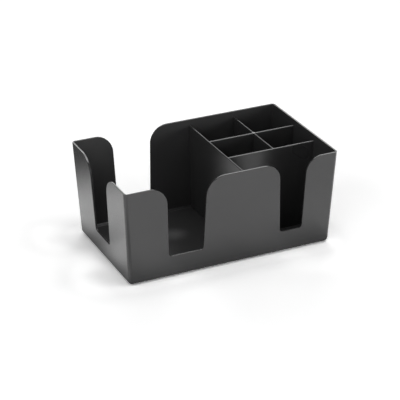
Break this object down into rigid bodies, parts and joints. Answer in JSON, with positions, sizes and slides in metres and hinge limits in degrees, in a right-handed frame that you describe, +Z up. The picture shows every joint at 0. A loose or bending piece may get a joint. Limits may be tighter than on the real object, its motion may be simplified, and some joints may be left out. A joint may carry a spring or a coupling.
{
  "type": "bar caddy",
  "caption": "Open-topped black plastic bar caddy: a tray with leaning walls, dividers, hand notches round the napkin compartment and a slot in front of the straw compartment.",
  "frame": {"origin": "on the table, under the middle of the caddy, at the undersides of the feet", "axes": "+X along the length, from the napkin compartment to the straw cells; +Y to the back, away from the front slot; +Z up"},
  "size_m": [0.24, 0.145, 0.106],
  "materials": {
    "shell_plastic": "satin black moulded plastic",
    "divider_plastic": "satin black moulded plastic",
    "foot_rubber": "dull black rubber"
  },
  "bodies": {
    "root": {"caddy_shell": "shell_plastic", "main_divider": "divider_plastic", "rear_divider": "divider_plastic", "front_divider": "divider_plastic", "cross_divider": "divider_plastic", "foot_front_left": "foot_rubber", "foot_front_right": "foot_rubber", "foot_rear_left": "foot_rubber", "foot_rear_right": "foot_rubber"}
  },
  "joints": []
}
